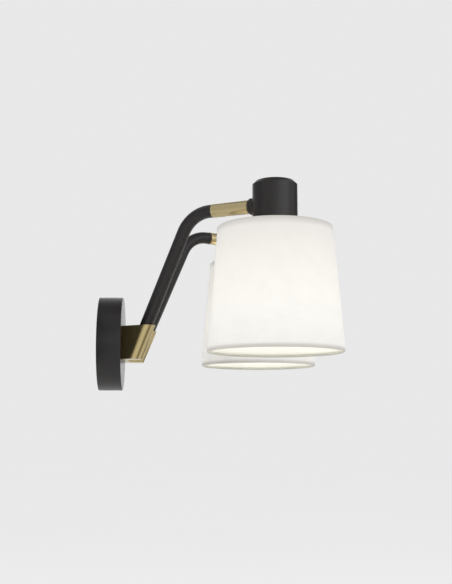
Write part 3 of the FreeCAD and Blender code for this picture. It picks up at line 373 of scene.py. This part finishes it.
def cloth(name, through, dark, light, inner=None, rise=None, edge=None):
    """White woven cloth on a thin liner. through is how much of the light behind it shows.

    inner is the painted shade of a hem's inner half, past HEM_INSIDE along its outline. edge is a
    darker painted-shade tone of a panel of this rise towards its rims, where its margins are
    glued; there the margins also let MARGIN_SHARE of that light through.
    """
    made, tree, shader, output = surface(name, Specular_IOR_Level=0.2, Sheen_Weight=0.15,
                                         Sheen_Roughness=0.5)
    flat = node(tree, "UVMap", uv_map="flat").outputs[0]
    parts = node(tree, "SeparateXYZ", {0: flat})
    waves = []
    for axis in (0, 1):
        phase = arithmetic(tree, "MULTIPLY", parts.outputs[axis], math.tau / THREAD_PITCH)
        waves.append(arithmetic(tree, "SINE", phase))
    weave = arithmetic(tree, "MULTIPLY_ADD", arithmetic(tree, "MULTIPLY", *waves), 0.5, 0.5)
    slubs = []
    for stretch in ((45.0, 2200.0, 1.0), (2200.0, 45.0, 1.0)):
        drawn = node(tree, "VectorMath", {0: flat, 1: stretch}, operation="MULTIPLY").outputs[0]
        slubs.append(noise(tree, drawn, 1.0, 2.0))
    slub = arithmetic(tree, "MULTIPLY", arithmetic(tree, "ADD", *slubs), 0.5)
    cloud = noise(tree, place_of(tree), 60.0, 3.0)
    tone = arithmetic(tree, "MULTIPLY_ADD", slub, 0.7, arithmetic(tree, "MULTIPLY", cloud, 0.3))
    relief = arithmetic(tree, "MULTIPLY_ADD", weave, 0.6, slub)
    colour = shades_between(tree, tone, dark, light)
    # painted shade: the hem's inner half is blended to the darker inner tone
    if inner:
        way_round = {"Value": parts.outputs["Y"], 1: HEM_INSIDE - MM, 2: HEM_INSIDE + MM}
        behind = node(tree, "MapRange", way_round).outputs[0]
        colour = blend(tree, behind, colour, (*inner, 1.0))
    share = between(tree, tone, through * 0.94, through * 1.06)
    if rise:
        open_cloth = glued_margin(tree, parts.outputs["Y"], rise)
        # painted shade: the colour darkens to the edge tone towards the rims; the share below is
        # the margins' real hold-back of light
        colour = blend(tree, open_cloth, (*edge, 1.0), colour)
        held_back = arithmetic(tree, "MULTIPLY_ADD", open_cloth, 1 - MARGIN_SHARE, MARGIN_SHARE)
        share = arithmetic(tree, "MULTIPLY", share, held_back)
    normal = raised(tree, relief, 0.05 * MM, 0.6)
    join(tree, shader,
         Base_Color=colour,
         Roughness=between(tree, weave, 0.80, 0.95),
         Normal=normal)
    glow = node(tree, "BsdfTranslucent", {"Color": colour, "Normal": normal})
    mixed = node(tree, "MixShader", {0: share, 1: shader.outputs[0], 2: glow.outputs[0]})
    tree.links.new(mixed.outputs[0], output.inputs["Surface"])
    return made


def arm_direction(side):
    """The level direction from a lamp's axis along its sleeve to the wall."""
    low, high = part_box(side + "_sleeve")
    along = (low + high) / 2 - centre_of(side + "_cap")
    return Vector((along.x, along.y, 0)).normalized()


def dress(materials):
    """Gives every CAD node the material of its slot, or of its own name where it has one."""
    for part in frame["record"]["subparts"]:
        name = part["node"]
        held = frame["nodes"][name]
        chosen = materials.get(name) or materials[part["material_slot"]]
        if not held.material_slots:
            held.data.materials.append(chosen)
        for place in held.material_slots:
            place.material = chosen


def all_materials():
    """The finish of each slot, and of the two sleeves, whose grain runs round the arm and whose
    brass is a darker copy with painted shade.
    """
    made = {
        "black_paint": black_paint(),
        "zinc_steel": zinc(),
        "lamp_glass": lamp_glass(),
        "satin_brass": metal("satin_brass", (0.495, 0.393, 0.188), (0.535, 0.433, 0.218),
                             (0, 0, 1), (30.0, 2600.0), (0.27, 0.35), 0.003 * MM, lacquer=0.2),
        "brass_plate": metal("brass_plate", (0.60, 0.46, 0.22), (0.72, 0.57, 0.30),
                             (0, 0, 1), (1800.0, 60.0), (0.28, 0.40), 0.02 * MM),
        "lamp_base_metal": metal("lamp_base_metal", (0.62, 0.62, 0.60), (0.76, 0.76, 0.74),
                                 (0, 0, 1), (1600.0, 40.0), (0.22, 0.34), 0.02 * MM),
        "black_rubber": moulded("black_rubber", (0.022, 0.022, 0.022), (0.035, 0.034, 0.033),
                                (0.70, 0.85), 900.0, 0.05 * MM, 0.3),
        "lead_sheath": moulded("lead_sheath", (0.06, 0.06, 0.06), (0.09, 0.09, 0.09),
                               (0.45, 0.60), 500.0, 0.03 * MM),
        "white_plastic": moulded("white_plastic", (0.76, 0.75, 0.72), (0.84, 0.83, 0.80),
                                 (0.40, 0.52), 1100.0, 0.03 * MM),
        "holder_plastic": moulded("holder_plastic", (0.035, 0.034, 0.033), (0.05, 0.049, 0.047),
                                  (0.32, 0.46), 1200.0, 0.03 * MM),
        "nylon": moulded("nylon", (0.07, 0.07, 0.07), (0.10, 0.10, 0.10),
                         (0.50, 0.62), 800.0, 0.02 * MM),
        "white_wire": moulded("white_wire", (0.74, 0.73, 0.70), (0.82, 0.81, 0.79),
                              (0.35, 0.50), 1500.0, 0.02 * MM),
        # edge: painted shade, a darker tone for the cloth near its two rims
        "shade_fabric": cloth("shade_fabric", 0.225, (0.785, 0.772, 0.758), (0.865, 0.854, 0.842),
                              rise=cloth_rise("left"), edge=(0.67, 0.648, 0.625)),
        # painted shade: the hem's colours are darker than the cloth's for the shaded underside of
        # the roll, and darker still (inner) on its inner half
        "hem_fabric": cloth("hem_fabric", 0.07, (0.605, 0.58, 0.535), (0.665, 0.64, 0.595),
                            inner=(0.45, 0.44, 0.40)),
    }
    # painted shade: the sleeves' brass is a darker copy of the bracket's brass, standing in for the
    # dimmer surroundings they mirror
    for side in SIDES:
        made[side + "_sleeve"] = metal(side + "_sleeve_brass", (0.435, 0.352, 0.185),
                                       (0.45, 0.365, 0.195), arm_direction(side),
                                       (2400.0, 50.0), (0.25, 0.28), 0.0006 * MM, lacquer=0.5)
    return made


# ---- shades ---------------------------------------------------------------------------


def shade_lines(side):
    """The two wire rings' places in the profile, and the directions out of and up the cloth."""
    low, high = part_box(side + "_shade")
    bottom = ((high.x - low.x) / 2 - HEM_RADIUS, low.z + HEM_RADIUS)
    top = (SHADE_TOP_RADIUS - HEM_RADIUS, high.z - HEM_RADIUS)
    slant = math.atan2(bottom[0] - top[0], top[1] - bottom[1])
    return bottom, top, slant


def cloth_rise(side):
    """The panel's height along its slant, from wire to wire."""
    bottom, top, _ = shade_lines(side)
    return math.hypot(bottom[0] - top[0], top[1] - bottom[1])


def step(point, slant, out, up):
    """A profile point moved out of the cloth and up along it."""
    return (point[0] + out * math.cos(slant) - up * math.sin(slant),
            point[1] + out * math.sin(slant) + up * math.cos(slant))


def hand_rolled(angle, radius, height):
    """A hem's radius, with the small unevenness of rolling by hand."""
    waves = ((1.0, 7, 0.4), (0.7, 13, 1.9), (0.5, 29, 0.0))
    ripple = sum(size * math.sin(count * angle + start) for size, count, start in waves)
    return radius + HEM_RIPPLE * ripple


def hem(name, side, ring, slant, way, material):
    """A hem rolled round a wire ring and tucked in behind it. way is 1 below and -1 above."""
    outline = [step(ring, slant, HEM_RADIUS - HEM_SINK, way * HEM_TUCK)]
    outline += arc(ring, HEM_RADIUS, slant, slant - way * HEM_TURN, HEM_STEPS)
    outline += [step(ring, slant, HEM_RADIUS - HEM_CLOTH, way * HEM_TUCK)]
    centre = centre_of(side + "_shade")
    return lathe(name, centre, outline, material, closed=True, shape=hand_rolled)


def shade(side, materials):
    """The cloth, its two rolled hems and its glued seam, which faces the wall."""
    bottom, top, slant = shade_lines(side)
    middle = centre_of(side + "_shade")
    rise = cloth_rise(side)
    levels = [rise * row / PANEL_ROWS for row in range(PANEL_ROWS + 1)]
    skin = [step(bottom, slant, HEM_RADIUS, level) for level in levels]
    panel = lathe(side + "_shade_cloth", middle, skin, materials["shade_fabric"])
    width = SEAM_WIDTH / bottom[0]
    strip = [step(bottom, slant, HEM_RADIUS + SEAM_STEP, level) for level in levels]
    strip = [step(bottom, slant, HEM_RADIUS, 0)] + strip + [step(bottom, slant, HEM_RADIUS, rise)]
    seam = lathe(side + "_shade_seam", middle, strip, materials["shade_fabric"],
                 start=math.pi / 2 - width / 2, sweep=width)
    hems = [hem(side + "_shade_lower_hem", side, bottom, slant, 1, materials["hem_fabric"]),
            hem(side + "_shade_upper_hem", side, top, slant, -1, materials["hem_fabric"])]
    for piece in [panel, seam] + hems:
        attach(piece, side + "_head")
    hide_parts(side + "_shade")


# ---- lampholders ----------------------------------------------------------------------


def grip_ring(side, materials):
    """The shade ring with ribs for the fingers."""
    low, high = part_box(side + "_shade_ring")
    outer = (high.x - low.x) / 2
    inner = SKIRT_RADIUS + GRIP_PLAY
    edge = GRIP_EDGE
    outline = [(inner, low.z + edge), (inner + edge, low.z),
               (outer - 2 * edge, low.z), (outer, low.z + 1.5 * edge),
               (outer, high.z - 1.5 * edge), (outer - 2 * edge, high.z),
               (inner + edge, high.z), (inner, high.z - edge)]

    def ribbed(angle, radius, height):
        if radius < outer - edge:
            return radius
        return radius - GRIP_DEPTH * max(0.0, math.cos(GRIP_RIBS * angle)) ** 2

    ring = lathe(side + "_grip_ring", centre_of(side + "_shade_ring"), outline,
                 materials["holder_plastic"], closed=True, shape=ribbed)
    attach(ring, side + "_head")
    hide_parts(side + "_shade_ring")


def skirt_thread(side, materials):
    """The coarse thread on the part of the skirt that shows under the shade ring."""
    centre = centre_of(side + "_lampholder")
    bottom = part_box(side + "_lampholder")[0].z + THREAD_RISE / 2
    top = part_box(side + "_shade_ring")[0].z - THREAD_RISE / 2
    turns = (top - bottom) / THREAD_RISE
    count = int(turns * THREAD_STEPS)
    section = ((-THREAD_SINK, -THREAD_FOOT / 2), (THREAD_HEIGHT, -THREAD_CREST / 2),
               (THREAD_HEIGHT, THREAD_CREST / 2), (-THREAD_SINK, THREAD_FOOT / 2))
    points = []
    for index in range(count + 1):
        angle = math.tau * index / THREAD_STEPS
        fade = min(1.0, index / THREAD_FADE, (count - index) / THREAD_FADE)
        for out, up in section:
            radius = SKIRT_RADIUS + (out if out < 0 else out * fade)
            height = bottom + THREAD_RISE * index / THREAD_STEPS + up
            points.append(round_point(centre, angle, radius, height))
    faces = []
    marks = []
    for index in range(count):
        for row in range(len(section)):
            after = (row + 1) % len(section)
            here = index * len(section)
            there = here + len(section)
            faces.append((here + row, there + row, there + after, here + after))
            marks.append([(0, 0)] * 4)
    thread = mesh_object(side + "_skirt_thread", points, faces, marks, materials["holder_plastic"],
                         smooth=False)
    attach(thread, side + "_head")


# ---- studio ---------------------------------------------------------------------------


def backdrop():
    """Even pale surroundings and a pale floor under the light."""
    world = bpy.data.worlds.new("studio")
    world.use_nodes = True
    tree = world.node_tree
    tree.nodes.clear()
    sky = node(tree, "Background", {"Color": (BACKDROP, BACKDROP, BACKDROP, 1.0)})
    node(tree, "OutputWorld", {"Surface": sky.outputs[0]})
    bpy.context.scene.world = world
    half = FLOOR_SIZE / 2
    level = CAD_BOX[0][2] - FLOOR_DROP
    corners = [(x * half, y * half, level) for x, y in SQUARE]
    marks = [[(x, y) for x, y, _ in corners]]
    lift = BACKDROP * (1 - FLOOR_COLOUR)
    made, tree, shader, _ = surface("floor", Roughness=1.0, Specular_IOR_Level=0.0,
                                    Emission_Color=(1, 1, 1, 1), Emission_Strength=lift)
    cloud = noise(tree, place_of(tree), 1.5, 2.0)
    darker, paler = FLOOR_COLOUR - FLOOR_VARIATION, FLOOR_COLOUR + FLOOR_VARIATION
    join(tree, shader, Base_Color=shades_between(tree, cloud, (darker,) * 3, (paler,) * 3))
    mesh_object("floor", corners, [(0, 1, 2, 3)], marks, made)


def aim(held, at, towards, axis):
    """Puts an object at a place, with this axis of its own pointing towards another place."""
    held.location = at
    held.rotation_euler = (Vector(towards) - Vector(at)).to_track_quat(axis, "Y").to_euler()


def flag(name, at, towards, width, height, tone=0.02):
    """A dark card that shows only where something shiny mirrors it."""
    corners = [(x * width / 2, y * height / 2, 0) for x, y in SQUARE]
    made, _, _, _ = surface(name + "_card", Base_Color=(tone, tone, tone, 1), Roughness=0.9)
    card = mesh_object(name, corners, [(0, 1, 2, 3)], [[(x, y) for x, y, _ in corners]], made)
    aim(card, at, towards, "Z")
    card.visible_camera = False
    card.visible_diffuse = False
    card.visible_transmission = False
    card.visible_shadow = False


def softbox(name, at, towards, width, height, power, shows_in="both"):
    """An area light. One that shows in mirrors alone lights no cloth, and the other way round."""
    data = bpy.data.lights.new(name, "AREA")
    data.shape = "RECTANGLE"
    data.size = width
    data.size_y = height
    data.energy = power
    made = bpy.data.objects.new(name, data)
    aim(made, at, towards, "-Z")
    made.visible_diffuse = shows_in != "mirrors"
    made.visible_transmission = shows_in != "mirrors"
    made.visible_glossy = shows_in != "cloth"
    bpy.context.scene.collection.objects.link(made)


def photo_camera():
    data = bpy.data.cameras.new("photo_camera")
    data.sensor_fit = "VERTICAL"
    data.sensor_height = SENSOR_HEIGHT_MM
    data.lens = SENSOR_HEIGHT_MM * FOCAL_LENGTH_PX / IMAGE_HEIGHT_PX
    made = bpy.data.objects.new("photo_camera", data)
    made.location = CAMERA_AT
    forward = Vector((math.cos(CAMERA_PITCH) * math.cos(CAMERA_YAW),
                      -math.cos(CAMERA_PITCH) * math.sin(CAMERA_YAW), math.sin(CAMERA_PITCH)))
    made.rotation_euler = forward.to_track_quat("-Z", "Y").to_euler()
    bpy.context.scene.collection.objects.link(made)
    bpy.context.scene.camera = made


bpy.context.scene.view_settings.view_transform = "Standard"
photo_camera()
backdrop()
softbox("front_softbox", (-1.48, -1.44, 0.62), (-0.13, -0.2, 0.12), 1.8, 0.9, 6.8)
softbox("camera_softbox", (-1.98, -0.28, 0.20), (-0.13, -0.2, 0.08), 0.9, 0.6, 1.6)
softbox("far_softbox", (1.5, -0.20, 0.42), (0, -0.1, 0.1), 1.2, 1.0, 3.4, shows_in="mirrors")
softbox("wall_bounce", (-0.35, 1.25, 0.02), (-0.05, -0.2, 0.05), 1.0, 0.8, 3.6, shows_in="cloth")
flag("near_flag", (-0.448, -0.517, -0.35), (-0.05, -0.06, 0), 0.40, 0.30)
flag("wall_flag", (-0.093, 0.002, 0.005), (-0.093, -1, 0.005), 0.074, 0.10)
flag("side_flag", (0.60, -1.13, 0.70), (-0.08, -0.15, 0.16), 0.9, 0.9, tone=0.1)
flag("low_flag", (0.347, -0.325, -0.151), (-0.06, -0.09, 0.02), 0.30, 0.22, tone=0.1)
flag("left_flag", (0.20, 0.54, 0.40), (-0.14, -0.19, 0.18), 1.25, 0.9, tone=0.4)
flag("top_flag", (0.10, -0.25, 1.10), (-0.1, -0.25, 0.1), 0.9, 0.9, tone=0.25)
finishes = all_materials()
dress(finishes)
for side in SIDES:
    shade(side, finishes)
    grip_ring(side, finishes)
    skirt_thread(side, finishes)
